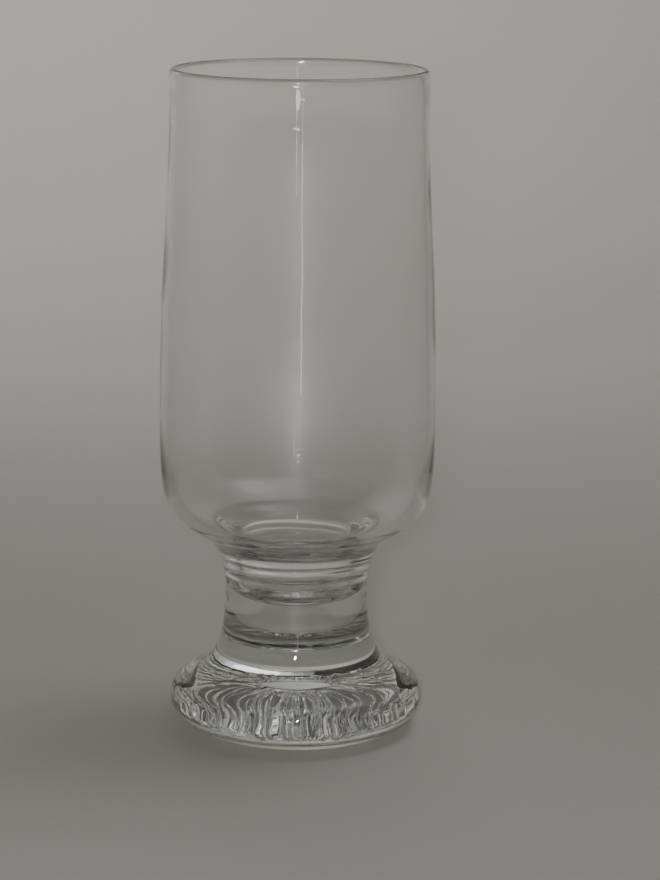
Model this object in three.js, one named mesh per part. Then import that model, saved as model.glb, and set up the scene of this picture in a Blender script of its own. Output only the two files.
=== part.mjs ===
// Footed pint glass in clear glass.
// Three gathers of hot glass, fused where they meet: a blown bowl, a waisted stem and a pressed foot.
// Millimetres, +Z up. The origin is on the glass's axis, on the table it stands on.
import * as THREE from 'three';

// Overall
const HEIGHT = 195;
const SEAM_GAP = 0.3; // left between two gathers, so that each stays its own solid
const AROUND = 60; // facets around the bowl and the stem
const CURVE_STEPS = 5; // facets along each curve of a profile

// Lip: a fire-polished round edge, a little thicker than the wall under it
const LIP_THICKNESS = 2.4;
const LIP_OUTER_RADIUS = 37.3;
const LIP_DEPTH = 14; // from the lip's round down to the plain wall

// Bowl, outside
const SIDE_TOP_RADIUS = 37.35;
const BELLY_RADIUS = 40.4; // widest, low on the side
const BELLY_HEIGHT = 90.5;
const SHOULDER_REACH = 23; // how far below the belly the shoulder begins to turn in
const ROOT_RADIUS = 27.8; // where the shoulder turns down into the stem
const ROOT_HEIGHT = 58.7;
const ROOT_ANGLE = THREE.MathUtils.degToRad(31.5); // of the shoulder at the root, above level

// Bowl, inside
const WALL_TOP = 1.75;
const WALL_BELLY = 2.6;
const SHOULDER_INSIDE_RADIUS = 26.5;
const SHOULDER_INSIDE_HEIGHT = 61.8;
const WELL_MOUTH_RADIUS = 16.6; // the well is the narrow bottom of the bowl, inside the stem
const WELL_MOUTH_HEIGHT = 55.5;
const WELL_FOOT_RADIUS = 13.2;
const WELL_FOOT_HEIGHT = 42;
const WELL_BOTTOM_HEIGHT = 38.6;

// Plug: the bowl's outside within the stem
const PLUG_TOP_RADIUS = 20.6;
const PLUG_FOOT_RADIUS = 14;
const PLUG_FOOT_HEIGHT = 35.5;
const PLUG_BOTTOM_HEIGHT = 32.6;
const SEAM_HEIGHT = 54.4; // of the level ledge where the stem's top edge meets the bowl

// Stem, outside
const WAIST_RADIUS = 21;
const WAIST_HEIGHT = 41.5;
const SEAM_RADIUS = 23.9; // at SEAM_HEIGHT

// Foot
const COLLAR_RADIUS = 23.85; // where the stem runs out into the foot
const COLLAR_HEIGHT = 23.6;
const COLLAR_ANGLE = THREE.MathUtils.degToRad(63.9); // of the foot's flank at the collar, above level
const FOOT_RADIUS = 37.3;
const FOOT_WIDEST_HEIGHT = 8.2;
const STAND_RADIUS = 27.6; // the foot stands on a ring of this outer radius
const STAND_WIDTH = 1.6; // flat part of that ring
const KICK_HEIGHT = 6; // of the hollow under the foot
const KICK_DISC_RADIUS = 7; // smooth middle of the hollow
const KICK_SPREAD = 3; // the handles of the hollow's curve: level at the disc, rising from the ring
const KICK_RUNOUT = 8;
const KICK_RUNOUT_RISE = 2;
const GILLS = 26; // radial ridges around the hollow
const GILL_DEPTH = 0.8;
const FACETS_PER_GILL = 4;

const v = (r, z) => new THREE.Vector2(r, z);
const along = (angle, length) => v(Math.cos(angle) * length, Math.sin(angle) * length);

// A profile is a path in (radius, height) from the axis out, up the outside and back to the axis.
function profile(start) {
  const path = new THREE.Path();
  path.moveTo(start.x, start.y);
  return path;
}

function curve(path, handleA, handleB, end) {
  path.bezierCurveTo(handleA.x, handleA.y, handleB.x, handleB.y, end.x, end.y);
}

function line(path, end) {
  path.lineTo(end.x, end.y);
}

// Turns a profile about the vertical axis.
function turned(path, around) {
  const geometry = new THREE.LatheGeometry(path.getPoints(CURVE_STEPS), around);
  geometry.rotateX(Math.PI / 2);
  return geometry;
}

function bowlGeometry() {
  const path = profile(v(0, PLUG_BOTTOM_HEIGHT));
  // plug and ledge
  line(path, v(PLUG_FOOT_RADIUS - 4, PLUG_BOTTOM_HEIGHT));
  curve(
    path,
    v(PLUG_FOOT_RADIUS - 1.6, PLUG_BOTTOM_HEIGHT),
    v(PLUG_FOOT_RADIUS - 0.6, PLUG_FOOT_HEIGHT - 1.8),
    v(PLUG_FOOT_RADIUS, PLUG_FOOT_HEIGHT),
  );
  line(path, v(PLUG_TOP_RADIUS, SEAM_HEIGHT));
  line(path, v(SEAM_RADIUS, SEAM_HEIGHT));
  // shoulder
  const root = v(ROOT_RADIUS, ROOT_HEIGHT);
  const belly = v(BELLY_RADIUS, BELLY_HEIGHT);
  const belowRoot = root.clone().sub(along(ROOT_ANGLE, 1.9));
  const aboveRoot = root.clone().add(along(ROOT_ANGLE, 13.6));
  curve(path, v(SEAM_RADIUS + 0.9, SEAM_HEIGHT + 1.5), belowRoot, root);
  curve(path, aboveRoot, v(BELLY_RADIUS, BELLY_HEIGHT - SHOULDER_REACH), belly);
  // side, then over the lip
  const lipCentre = HEIGHT - LIP_THICKNESS / 2;
  const wallTop = lipCentre - LIP_DEPTH;
  curve(
    path,
    v(BELLY_RADIUS, BELLY_HEIGHT + 48),
    v(SIDE_TOP_RADIUS + 0.8, wallTop - 36),
    v(SIDE_TOP_RADIUS, wallTop),
  );
  line(path, v(LIP_OUTER_RADIUS, lipCentre));
  path.absarc(LIP_OUTER_RADIUS - LIP_THICKNESS / 2, lipCentre, LIP_THICKNESS / 2, 0, Math.PI, false);
  // inside, down to the well
  const insideTop = SIDE_TOP_RADIUS - WALL_TOP;
  const insideBelly = BELLY_RADIUS - WALL_BELLY;
  const mouth = v(WELL_MOUTH_RADIUS, WELL_MOUTH_HEIGHT);
  line(path, v(insideTop, wallTop));
  curve(
    path,
    v(insideTop + 0.8, wallTop - 36),
    v(insideBelly, BELLY_HEIGHT + 48),
    v(insideBelly, BELLY_HEIGHT),
  );
  curve(
    path,
    v(insideBelly, BELLY_HEIGHT - SHOULDER_REACH + 2),
    v(SHOULDER_INSIDE_RADIUS + 8.6, SHOULDER_INSIDE_HEIGHT + 4.6),
    v(SHOULDER_INSIDE_RADIUS, SHOULDER_INSIDE_HEIGHT),
  );
  curve(
    path,
    v(SHOULDER_INSIDE_RADIUS - 4.4, SHOULDER_INSIDE_HEIGHT - 2.4),
    v(WELL_MOUTH_RADIUS + 1.6, WELL_MOUTH_HEIGHT + 2.6),
    mouth,
  );
  curve(
    path,
    v(WELL_MOUTH_RADIUS - 0.8, WELL_MOUTH_HEIGHT - 5),
    v(WELL_FOOT_RADIUS + 2.2, WELL_FOOT_HEIGHT + 2.6),
    v(WELL_FOOT_RADIUS, WELL_FOOT_HEIGHT),
  );
  curve(
    path,
    v(WELL_FOOT_RADIUS - 2.2, WELL_FOOT_HEIGHT - 2.6),
    v(WELL_FOOT_RADIUS * 0.55, WELL_BOTTOM_HEIGHT),
    v(0, WELL_BOTTOM_HEIGHT),
  );
  return turned(path, AROUND);
}

function stemGeometry() {
  const bottom = COLLAR_HEIGHT + SEAM_GAP;
  const ledge = SEAM_HEIGHT - SEAM_GAP;
  const socketFloor = PLUG_BOTTOM_HEIGHT - SEAM_GAP;
  const socketFoot = PLUG_FOOT_RADIUS + SEAM_GAP;
  const path = profile(v(0, bottom));
  line(path, v(COLLAR_RADIUS, bottom));
  curve(
    path,
    v(COLLAR_RADIUS - 1.9, bottom + 4),
    v(WAIST_RADIUS, WAIST_HEIGHT - 7.4),
    v(WAIST_RADIUS, WAIST_HEIGHT),
  );
  curve(
    path,
    v(WAIST_RADIUS, WAIST_HEIGHT + 5.5),
    v(SEAM_RADIUS - 1.8, ledge - 3),
    v(SEAM_RADIUS - 0.1, ledge),
  );
  // socket around the bowl's plug
  line(path, v(PLUG_TOP_RADIUS + SEAM_GAP, ledge));
  line(path, v(socketFoot, PLUG_FOOT_HEIGHT));
  curve(
    path,
    v(socketFoot - 0.6, PLUG_FOOT_HEIGHT - 1.8),
    v(socketFoot - 1.6, socketFloor),
    v(socketFoot - 4, socketFloor),
  );
  line(path, v(0, socketFloor));
  return turned(path, AROUND);
}

// Height added to the hollow's surface: gills that fade out at the smooth disc and at the stand.
function gill(radius, angle) {
  const reach = (radius - KICK_DISC_RADIUS) / (STAND_RADIUS - STAND_WIDTH - KICK_DISC_RADIUS);
  if (reach <= 0 || reach >= 1) {
    return 0;
  }
  return GILL_DEPTH * Math.sin(Math.PI * reach) * Math.cos(GILLS * angle);
}

function footGeometry() {
  const inner = STAND_RADIUS - STAND_WIDTH;
  const path = profile(v(0, KICK_HEIGHT));
  line(path, v(KICK_DISC_RADIUS, KICK_HEIGHT));
  // hollow, then the ring it stands on
  curve(
    path,
    v(KICK_DISC_RADIUS + KICK_SPREAD, KICK_HEIGHT),
    v(inner - KICK_RUNOUT, KICK_RUNOUT_RISE),
    v(inner, 0),
  );
  line(path, v(STAND_RADIUS, 0));
  const hollowRows = path.getPoints(CURVE_STEPS).length;
  // rounded edge and flank, up to the collar
  const collar = v(COLLAR_RADIUS, COLLAR_HEIGHT);
  const widest = v(FOOT_RADIUS, FOOT_WIDEST_HEIGHT);
  const upFlank = v(-Math.cos(COLLAR_ANGLE) * 12.2, Math.sin(COLLAR_ANGLE) * 12.2);
  curve(path, v(STAND_RADIUS + 4, 1.2), v(FOOT_RADIUS, FOOT_WIDEST_HEIGHT - 4.2), widest);
  curve(path, v(FOOT_RADIUS, FOOT_WIDEST_HEIGHT + 10.8), collar.clone().sub(upFlank), collar);
  line(path, v(0, COLLAR_HEIGHT));

  const rows = path.getPoints(CURVE_STEPS).length;
  const geometry = turned(path, GILLS * FACETS_PER_GILL);
  const position = geometry.attributes.position;
  for (let i = 0; i < position.count; i += 1) {
    const x = position.getX(i);
    const y = position.getY(i);
    const inHollow = i % rows < hollowRows;
    if (inHollow) {
      position.setZ(i, position.getZ(i) + gill(Math.hypot(x, y), Math.atan2(y, x)));
    }
  }
  geometry.computeVertexNormals();
  return geometry;
}

function glass(name, geometry) {
  const material = new THREE.MeshStandardMaterial({
    color: 0xeef2f0,
    roughness: 0.03,
    metalness: 0,
    transparent: true,
    opacity: 0.35,
  });
  const mesh = new THREE.Mesh(geometry, material);
  mesh.name = name;
  return mesh;
}

const group = new THREE.Group();
group.name = 'pint_glass';
group.add(glass('bowl', bowlGeometry()));
group.add(glass('stem', stemGeometry()));
group.add(glass('foot', footGeometry()));

export default group;
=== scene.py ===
import math

import bpy
import numpy as np
from mathutils import Matrix, Vector


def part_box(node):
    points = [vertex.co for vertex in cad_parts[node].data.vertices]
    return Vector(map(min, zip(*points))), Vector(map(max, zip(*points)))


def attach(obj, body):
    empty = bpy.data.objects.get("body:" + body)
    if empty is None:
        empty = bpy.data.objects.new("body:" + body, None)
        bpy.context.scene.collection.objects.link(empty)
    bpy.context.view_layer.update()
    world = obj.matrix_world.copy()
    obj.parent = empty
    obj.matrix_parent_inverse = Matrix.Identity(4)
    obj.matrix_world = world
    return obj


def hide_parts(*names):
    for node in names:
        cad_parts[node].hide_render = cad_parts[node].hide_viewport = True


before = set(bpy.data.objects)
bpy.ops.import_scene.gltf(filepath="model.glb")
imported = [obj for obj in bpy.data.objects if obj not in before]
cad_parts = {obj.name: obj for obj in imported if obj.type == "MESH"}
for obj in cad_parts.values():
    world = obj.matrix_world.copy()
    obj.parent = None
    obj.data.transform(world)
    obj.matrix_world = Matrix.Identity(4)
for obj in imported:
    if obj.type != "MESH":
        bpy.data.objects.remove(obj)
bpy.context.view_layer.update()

MM = 0.001

# ---- driving sizes, in millimetres ----------------------------------------
BOWL_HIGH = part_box("bowl")[1]
STEM_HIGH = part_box("stem")[1]
FOOT_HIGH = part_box("foot")[1]
HEIGHT = BOWL_HIGH.z / MM
BELLY_RADIUS = BOWL_HIGH.x / MM - 0.05  # a little in, so that the waves stay inside the CAD box
FOOT_RADIUS = FOOT_HIGH.x / MM - 0.02
COLLAR_RADIUS = STEM_HIGH.x / MM
COLLAR_HEIGHT = FOOT_HIGH.z / MM
SEAM_HEIGHT = STEM_HIGH.z / MM
SEAM_GAP = 0.3  # the CAD model's gap, closed here

# outside
LIP_THICKNESS = 2.4
LIP_OUTER_RADIUS = 37.3
LIP_DEPTH = 14
SIDE_TOP_RADIUS = 37.35
BELLY_HEIGHT = 90.5
SHOULDER_REACH = 23
ROOT_RADIUS = 27.8
ROOT_HEIGHT = 58.7
ROOT_ANGLE = math.radians(31.5)
WAIST_RADIUS = 21
WAIST_HEIGHT = 41.5
SEAM_RADIUS = 23.9
COLLAR_ANGLE = math.radians(63.9)
FOOT_WIDEST_HEIGHT = 8.2
STAND_RADIUS = 27.6
STAND_WIDTH = 1.6

# inside
WALL_TOP = 1.75
WALL_BELLY = 2.6
SHOULDER_INSIDE_RADIUS = 26.5
SHOULDER_INSIDE_HEIGHT = 61.8
WELL_MOUTH_RADIUS = 16.6
WELL_MOUTH_HEIGHT = 55.5
WELL_FOOT_RADIUS = 13.2
WELL_FOOT_HEIGHT = 42
WELL_BOTTOM_HEIGHT = 38.6

# hollow under the foot
KICK_HEIGHT = 6
KICK_DISC_RADIUS = 7
KICK_SPREAD = 3
KICK_RUNOUT = 8
KICK_RUNOUT_RISE = 2

# radial folds in the hollow
GILLS = 54
GILL_DEPTH = 2.4
GILL_FADE = 0.6  # how far out, from 0 at the disc to 1 at the stand, the folds begin to run out
GILL_RISE = 0.14  # the length, on the same scale, over which a fold rises at the disc
GILL_SHARPNESS = 2.4
GILL_POWER = 1.2
GILL_HOOK = 0.25
GILL_SINK = 0.35  # how far the glass between the folds bulges down, as a share of their depth

# unevenness of the surface
INNER_WAVE_DEPTH = 0.01
OUTER_WAVE_DEPTH = 0.006
WAVE_FADE = 8  # the waves come in over this length under the lip
RING_DEPTH = 0.32
RING_PITCH = 4.2
RINGS_TOP = 66
RINGS_BOTTOM = 42
FLANK_FLUTE_DEPTH = 0.05

# material
FILM_ROUGHNESS = 0.03
BUMP_STRENGTH = 0.04
TINT_DENSITY = 6

# facets
AROUND = 360
LIP_STEPS = 12


# ---- profile --------------------------------------------------------------
# A number added to a point below sets how far a curve's handle stands from that point.
def bezier(a, b, c, d, steps):
    t = np.linspace(0, 1, steps + 1)[1:, None]
    a, b, c, d = (np.array(p, float) for p in (a, b, c, d))
    return (1 - t) ** 3 * a + 3 * (1 - t) ** 2 * t * b + 3 * (1 - t) * t * t * c + t**3 * d


def straight(a, b, steps):
    t = np.linspace(0, 1, steps + 1)[1:, None]
    return (1 - t) * np.array(a, float) + t * np.array(b, float)


def along(angle, length):
    return np.array([math.cos(angle), math.sin(angle)]) * length


def underside():
    """(radius, height) from the middle of the hollow out to the stand's outer edge."""
    inner = STAND_RADIUS - STAND_WIDTH
    disc = (KICK_DISC_RADIUS, KICK_HEIGHT)
    run_out = (inner - KICK_RUNOUT, KICK_RUNOUT_RISE)
    return [
        straight((0, KICK_HEIGHT), disc, 4),
        bezier(disc, (KICK_DISC_RADIUS + KICK_SPREAD, KICK_HEIGHT), run_out, (inner, 0), 26),
        straight((inner, 0), (STAND_RADIUS, 0), 1),
    ]


def outside():
    """(radius, height) from the stand's outer edge up to the lip's outer side."""
    stand = (STAND_RADIUS, 0)
    widest = (FOOT_RADIUS, FOOT_WIDEST_HEIGHT)
    collar = np.array([COLLAR_RADIUS, COLLAR_HEIGHT])
    up_flank = along(math.pi - COLLAR_ANGLE, 12.2)
    waist = (WAIST_RADIUS, WAIST_HEIGHT)
    seam = (SEAM_RADIUS, SEAM_HEIGHT + SEAM_GAP)
    root = np.array([ROOT_RADIUS, ROOT_HEIGHT])
    below_root = root - along(ROOT_ANGLE, 1.9)
    above_root = root + along(ROOT_ANGLE, 13.6)
    belly = (BELLY_RADIUS, BELLY_HEIGHT)
    lip = (LIP_OUTER_RADIUS, HEIGHT - LIP_THICKNESS / 2)
    top = (SIDE_TOP_RADIUS, lip[1] - LIP_DEPTH)
    return [
        bezier(stand, (STAND_RADIUS + 4, 1.2), (FOOT_RADIUS, widest[1] - 4.2), widest, 14),
        bezier(widest, (FOOT_RADIUS, widest[1] + 10.8), collar - up_flank, collar, 20),
        bezier(collar, (COLLAR_RADIUS - 1.9, collar[1] + 4.3), (WAIST_RADIUS, waist[1] - 7.4), waist, 12),
        bezier(waist, (WAIST_RADIUS, waist[1] + 5.5), (SEAM_RADIUS - 1.8, seam[1] - 3.2), seam, 9),
        bezier(seam, (SEAM_RADIUS + 0.9, seam[1] + 1.5), below_root, root, 6),
        bezier(root, above_root, (BELLY_RADIUS, belly[1] - SHOULDER_REACH), belly, 20),
        bezier(belly, (BELLY_RADIUS, belly[1] + 48), (top[0] + 0.8, top[1] - 36), top, 24),
        bezier(top, (top[0] - 0.15, lip[1] - 9), (lip[0] - 0.1, lip[1] - 3), lip, 6),
    ]


def lip_round():
    angle = np.linspace(0, math.pi, LIP_STEPS + 1)[1:, None]
    centre = np.array([LIP_OUTER_RADIUS - LIP_THICKNESS / 2, HEIGHT - LIP_THICKNESS / 2])
    return centre + LIP_THICKNESS / 2 * np.hstack([np.cos(angle), np.sin(angle)])


def inside():
    """(radius, height) from the lip's inner side down to the well's middle."""
    lip = (LIP_OUTER_RADIUS - LIP_THICKNESS, HEIGHT - LIP_THICKNESS / 2)
    top = (SIDE_TOP_RADIUS - WALL_TOP, lip[1] - LIP_DEPTH)
    belly = (BELLY_RADIUS - WALL_BELLY, BELLY_HEIGHT)
    below_belly = (belly[0], belly[1] - SHOULDER_REACH + 2)
    shoulder = (SHOULDER_INSIDE_RADIUS, SHOULDER_INSIDE_HEIGHT)
    mouth = (WELL_MOUTH_RADIUS, WELL_MOUTH_HEIGHT)
    foot = (WELL_FOOT_RADIUS, WELL_FOOT_HEIGHT)
    below_foot = (foot[0] - 2.2, foot[1] - 2.6)
    bottom = (0, WELL_BOTTOM_HEIGHT)
    return [
        bezier(lip, (lip[0], lip[1] - 2.5), (top[0] - 0.12, lip[1] - 8), top, 6),
        bezier(top, (top[0] + 0.8, top[1] - 36), (belly[0], belly[1] + 48), belly, 24),
        bezier(belly, below_belly, (shoulder[0] + 8.6, shoulder[1] + 4.6), shoulder, 30),
        bezier(shoulder, (shoulder[0] - 4.4, shoulder[1] - 2.4), (mouth[0] + 1.6, mouth[1] + 2.6), mouth, 20),
        bezier(mouth, (mouth[0] - 0.8, mouth[1] - 5), (foot[0] + 2.2, foot[1] + 2.6), foot, 24),
        bezier(foot, below_foot, (foot[0] * 0.55, WELL_BOTTOM_HEIGHT), bottom, 10),
    ]


# ---- surface --------------------------------------------------------------
RANDOM = np.random.RandomState(7)


def wave_kinds(fewest, most, shortest, longest):
    """Eight waves: how many go round the glass, their length up it, and where each starts."""
    return [(RANDOM.randint(fewest, most), RANDOM.uniform(shortest, longest),
             RANDOM.uniform(0, 6.28), RANDOM.uniform(0, 6.28)) for _ in range(8)]


def folds():
    """One (angle, depth, width, hook, start) for each radial fold under the foot."""
    step = 2 * math.pi / GILLS
    made = []
    for i in range(GILLS):
        angle = step * (i + RANDOM.uniform(-0.28, 0.28))
        depth = RANDOM.uniform(0.45, 1.25)
        width = step * RANDOM.uniform(0.30, 0.55)
        hook = RANDOM.uniform(-1, 1)
        start = RANDOM.uniform(0.0, 0.12)
        made.append((angle, depth, width, hook, start))
    return made


INNER_WAVES = wave_kinds(0, 6, 25, 60)
OUTER_WAVES = wave_kinds(1, 9, 14, 40)
FOLDS = folds()


def gills(reach, angles):
    """Height of the folds under the foot: sharp creases up into the glass, rounded lobes between."""
    total = np.zeros_like(angles)
    fade_out = max(0, 1 - max(0, (reach - GILL_FADE) / (1 - GILL_FADE)) ** 1.5)
    for i, (angle, depth, width, hook, start) in enumerate(FOLDS):
        fade_in = min(1, max(0, (reach - start) / GILL_RISE))
        place = angle + GILL_HOOK * hook * (1 - reach) ** 2 + 0.03 * math.sin(9 * reach + 2.1 * i)
        away = np.abs((angles - place + math.pi) % (2 * math.pi) - math.pi) / width
        crease = np.exp(-GILL_SHARPNESS * away ** GILL_POWER)
        total += depth * fade_in * (3 - 2 * fade_in) * fade_in * crease
    return GILL_DEPTH * fade_out * (total - GILL_SINK * min(1, max(0, reach) / 0.15))


def flutes(height, angles):
    """Shallow marks down the foot's flank, never below zero, so that they only cut inwards."""
    level = height / COLLAR_HEIGHT
    turn = angles + 0.05 * np.sin(3 * angles + 4 * level)
    slant = 1.7 * math.pi * level + 11 * turn
    mark = 1 + 0.5 * np.sin(34 * turn) + 0.3 * np.sin(slant) + 0.2 * np.sin(57 * turn)
    return math.sin(math.pi * level) * mark


def waves(kinds, height, angles):
    """Faint unevenness of the side, faded out towards the lip."""
    fade = min(1, max(0, (HEIGHT - 2 - height) / WAVE_FADE))
    return fade * sum(np.sin(k * angles + p) * math.sin(2 * math.pi * height / length + q)
                      for k, length, p, q in kinds)


def rings(height, angles):
    """The rings inside, from the shoulder down into the well."""
    middle = (RINGS_TOP + RINGS_BOTTOM) / 2
    near = max(0, 1 - ((height - middle) / (RINGS_TOP - middle)) ** 2)
    tilt = 0.5 * np.sin(angles + 1.0) + 0.3 * np.sin(2 * angles)
    turn = 2 * math.pi * (height + tilt) / RING_PITCH
    return RING_DEPTH * near * (np.sin(turn) + 0.4 * np.sin(1.63 * turn + 1))


# ---- glass ----------------------------------------------------------------
def turned(name, rows, displace):
    """A closed mesh: rows of (radius, height) in millimetres from axis to axis, turned about Z."""
    angles = np.linspace(0, 2 * math.pi, AROUND, endpoint=False)
    n = len(rows) - 2
    grid = np.empty((n, AROUND, 3))
    for i, (radius, height) in enumerate(rows[1:-1]):
        r, z = displace(i + 1, radius, height, angles)
        grid[i, :, 0] = r * np.cos(angles)
        grid[i, :, 1] = r * np.sin(angles)
        grid[i, :, 2] = z
    poles = [[0, 0, rows[0][1]], [0, 0, rows[-1][1]]]
    verts = np.vstack([grid.reshape(-1, 3), poles]) * MM
    first, last = n * AROUND, n * AROUND + 1
    faces = []
    for j in range(AROUND):
        k = (j + 1) % AROUND
        faces.append((first, k, j))
        faces.append((last, (n - 1) * AROUND + j, (n - 1) * AROUND + k))
        for i in range(n - 1):
            faces.append((i * AROUND + j, i * AROUND + k, (i + 1) * AROUND + k, (i + 1) * AROUND + j))
    mesh = bpy.data.meshes.new(name)
    mesh.from_pydata(verts.tolist(), [], faces)
    mesh.shade_smooth()
    mesh.validate()
    obj = bpy.data.objects.new(name, mesh)
    bpy.context.scene.collection.objects.link(obj)
    return obj


def glass_body():
    under = np.vstack([[[0, KICK_HEIGHT]]] + underside())
    outer = np.vstack(outside())
    rows = np.vstack([under, outer, lip_round()] + inside())
    hollow = len(under) - 2  # the last row of the hollow, where the stand begins
    inner_start = len(under) + len(outer) + LIP_STEPS

    def displace(i, radius, height, angles):
        r = np.full(AROUND, radius)
        z = np.full(AROUND, height)
        if i <= hollow:
            reach = (radius - KICK_DISC_RADIUS) / (STAND_RADIUS - STAND_WIDTH - KICK_DISC_RADIUS)
            if 0 < reach < 1:
                z = z + gills(reach, angles)
            z = np.maximum(z, 0)
        elif i > inner_start:
            r = r - INNER_WAVE_DEPTH * waves(INNER_WAVES, height, angles) - rings(height, angles)
        elif height > SEAM_HEIGHT:
            r = r + OUTER_WAVE_DEPTH * waves(OUTER_WAVES, height, angles)
        elif height < COLLAR_HEIGHT:
            r = r - FLANK_FLUTE_DEPTH * flutes(height, angles)
        return r, z

    return turned("glass", rows, displace)


def glass_material():
    """Clear glass with a faint wiped film, a slightly uneven surface and a trace of grey."""
    mat = bpy.data.materials.new("clear_glass")
    mat.use_nodes = True
    nodes, links = mat.node_tree.nodes, mat.node_tree.links
    nodes.clear()

    def noise(scale, stretch, detail):
        place = nodes.new("ShaderNodeTexCoord")
        mapping = nodes.new("ShaderNodeMapping")
        mapping.inputs["Scale"].default_value = stretch
        texture = nodes.new("ShaderNodeTexNoise")
        texture.inputs["Scale"].default_value = scale
        texture.inputs["Detail"].default_value = detail
        links.new(place.outputs["Object"], mapping.inputs["Vector"])
        links.new(mapping.outputs["Vector"], texture.inputs["Vector"])
        return texture.outputs["Fac"]

    film = nodes.new("ShaderNodeMapRange")
    film.inputs["From Min"].default_value = 0.5
    film.inputs["From Max"].default_value = 0.8
    film.inputs["To Max"].default_value = FILM_ROUGHNESS
    links.new(noise(70, (1, 1, 0.12), 4), film.inputs["Value"])

    bump = nodes.new("ShaderNodeBump")
    bump.inputs["Strength"].default_value = BUMP_STRENGTH
    bump.inputs["Distance"].default_value = 0.001
    links.new(noise(55, (1, 1, 0.5), 1), bump.inputs["Height"])

    bsdf = nodes.new("ShaderNodeBsdfPrincipled")
    bsdf.inputs["Base Color"].default_value = (1, 1, 1, 1)
    bsdf.inputs["IOR"].default_value = 1.52
    bsdf.inputs["Transmission Weight"].default_value = 1.0
    links.new(film.outputs["Result"], bsdf.inputs["Roughness"])
    links.new(bump.outputs["Normal"], bsdf.inputs["Normal"])

    tint = nodes.new("ShaderNodeVolumeAbsorption")
    tint.inputs["Color"].default_value = (0.80, 0.82, 0.79, 1)
    tint.inputs["Density"].default_value = TINT_DENSITY
    out = nodes.new("ShaderNodeOutputMaterial")
    links.new(bsdf.outputs["BSDF"], out.inputs["Surface"])
    links.new(tint.outputs["Volume"], out.inputs["Volume"])
    return mat


glass = glass_body()
glass.data.materials.append(glass_material())
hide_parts("bowl", "stem", "foot")
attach(glass, "root")

# ---- stage, in metres -----------------------------------------------------
FLOOR_COLOUR = (0.56, 0.55, 0.50)
CYC_FLOOR_RADIUS = 0.85
CYC_BEND = 0.4
CYC_HEIGHT = 1.3
CYC_AROUND = 96


def stage_material(name, colour):
    mat = bpy.data.materials.new(name)
    mat.use_nodes = True
    bsdf = mat.node_tree.nodes["Principled BSDF"]
    bsdf.inputs["Base Color"].default_value = (*colour, 1)
    bsdf.inputs["Roughness"].default_value = 0.6
    return mat


def cyclorama(name, colour):
    """A round floor that curves up into a wall, far out round the glass."""
    rows = [(CYC_FLOOR_RADIUS * t, 0.0) for t in (0.2, 0.5, 0.8)]
    rows += [(CYC_FLOOR_RADIUS + CYC_BEND * math.sin(t), CYC_BEND * (1 - math.cos(t)))
             for t in np.linspace(0, math.pi / 2, 13)]
    rows += [(CYC_FLOOR_RADIUS + CYC_BEND, CYC_HEIGHT)]
    angles = np.linspace(0, 2 * math.pi, CYC_AROUND, endpoint=False)
    verts = [(r * math.cos(t), r * math.sin(t), z) for r, z in rows for t in angles]
    verts.append((0, 0, 0))
    faces = []
    for j in range(CYC_AROUND):
        k = (j + 1) % CYC_AROUND
        faces.append((len(verts) - 1, j, k))
        for i in range(len(rows) - 1):
            low_row, high_row = i * CYC_AROUND, (i + 1) * CYC_AROUND
            faces.append((low_row + j, high_row + j, high_row + k, low_row + k))
    mesh = bpy.data.meshes.new(name)
    mesh.from_pydata(verts, [], faces)
    mesh.shade_smooth()
    obj = bpy.data.objects.new(name, mesh)
    obj.data.materials.append(stage_material(name, colour))
    bpy.context.scene.collection.objects.link(obj)
    return obj


cyclorama("floor", FLOOR_COLOUR)

# ---- light, in metres and watts -------------------------------------------
MIDDLE = (0, 0, HEIGHT * MM / 2)
OVERHEAD_POWER = 2.6
OVERHEAD_PLACE = (0.45, 0.25, 1.35)
OVERHEAD_TARGET = (0, 0.3, 0)
OVERHEAD_SIZES = (0.6, 0.9, 1.2, 1.5)  # one inside the other, which gives the lamp a soft edge
OVERHEAD_SPREAD = 110
WORLD_COLOUR = (0.95, 0.93, 0.89, 1)
WORLD_STRENGTH = 0.04


def area_light(name, place, target, size, power, height=None, spread=180):
    """A soft lamp: a disk, or a rectangle where height is given."""
    data = bpy.data.lights.new(name, "AREA")
    data.shape = "RECTANGLE" if height else "DISK"
    data.size = size
    if height:
        data.size_y = height
    data.energy = power
    data.spread = math.radians(spread)
    obj = bpy.data.objects.new(name, data)
    obj.location = place
    obj.rotation_euler = (Vector(target) - Vector(place)).to_track_quat("-Z", "Y").to_euler()
    obj.visible_camera = False
    bpy.context.scene.collection.objects.link(obj)


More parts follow.
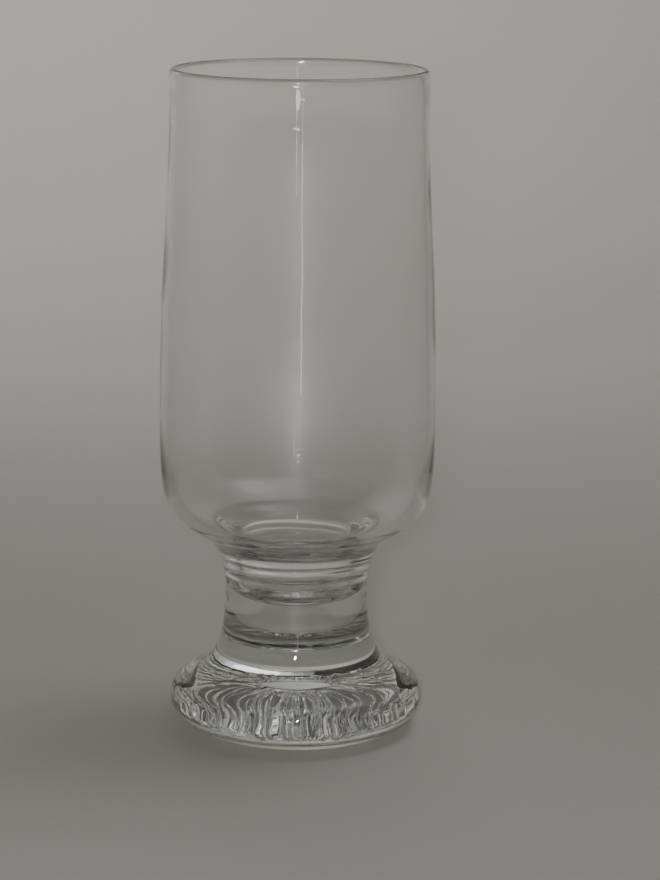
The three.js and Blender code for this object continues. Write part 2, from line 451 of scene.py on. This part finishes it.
for disk_size in OVERHEAD_SIZES:
    area_light("overhead", OVERHEAD_PLACE, OVERHEAD_TARGET, disk_size,
               OVERHEAD_POWER / len(OVERHEAD_SIZES), spread=OVERHEAD_SPREAD)
area_light("wall", (-0.45, 0.35, 1.15), (-0.15, 1.25, 0.25), size=0.6, power=3.2, spread=100)
area_light("front", (-0.018, -0.82, 0.27), MIDDLE, size=0.05, power=2.8)
# two accents: a streak down the side and a highlight under the lip
area_light("strip", (0.03, -0.62, 0.075), (0, 0, 0.075), size=0.006, power=0.014, height=0.14)
area_light("spark", (-0.03, -0.8, 0.165), (0, 0, 0.185), size=0.08, power=0.16, height=0.01)

world = bpy.data.worlds.new("studio")
world.use_nodes = True
background = world.node_tree.nodes["Background"]
background.inputs["Color"].default_value = WORLD_COLOUR
background.inputs["Strength"].default_value = WORLD_STRENGTH
bpy.context.scene.world = world

# thick glass needs long light paths
bpy.context.scene.cycles.max_bounces = 32
bpy.context.scene.cycles.glossy_bounces = 24
bpy.context.scene.cycles.transmission_bounces = 32

# ---- camera, in metres ----------------------------------------------------
CAMERA_DISTANCE = 0.819
CAMERA_HEIGHT = 0.2642
PITCH = math.radians(12.25)
YAW = math.radians(0.67)
ROLL = math.radians(0.53)
LENS = 116.75


def aimed_camera():
    """Looks down by PITCH and to the right by YAW, then turned about its own axis by ROLL."""
    forward = Vector((math.sin(YAW) * math.cos(PITCH), math.cos(YAW) * math.cos(PITCH), -math.sin(PITCH)))
    level = forward.cross(Vector((0, 0, 1))).normalized()
    upright = level.cross(forward)
    right = math.cos(ROLL) * level + math.sin(ROLL) * upright
    up = -math.sin(ROLL) * level + math.cos(ROLL) * upright
    turn = Matrix((right, up, -forward)).transposed().to_4x4()
    camera = bpy.data.objects.new("camera", bpy.data.cameras.new("camera"))
    camera.data.lens = LENS
    camera.matrix_world = Matrix.Translation((0, -CAMERA_DISTANCE, CAMERA_HEIGHT)) @ turn
    bpy.context.scene.collection.objects.link(camera)
    return camera


bpy.context.scene.camera = aimed_camera()
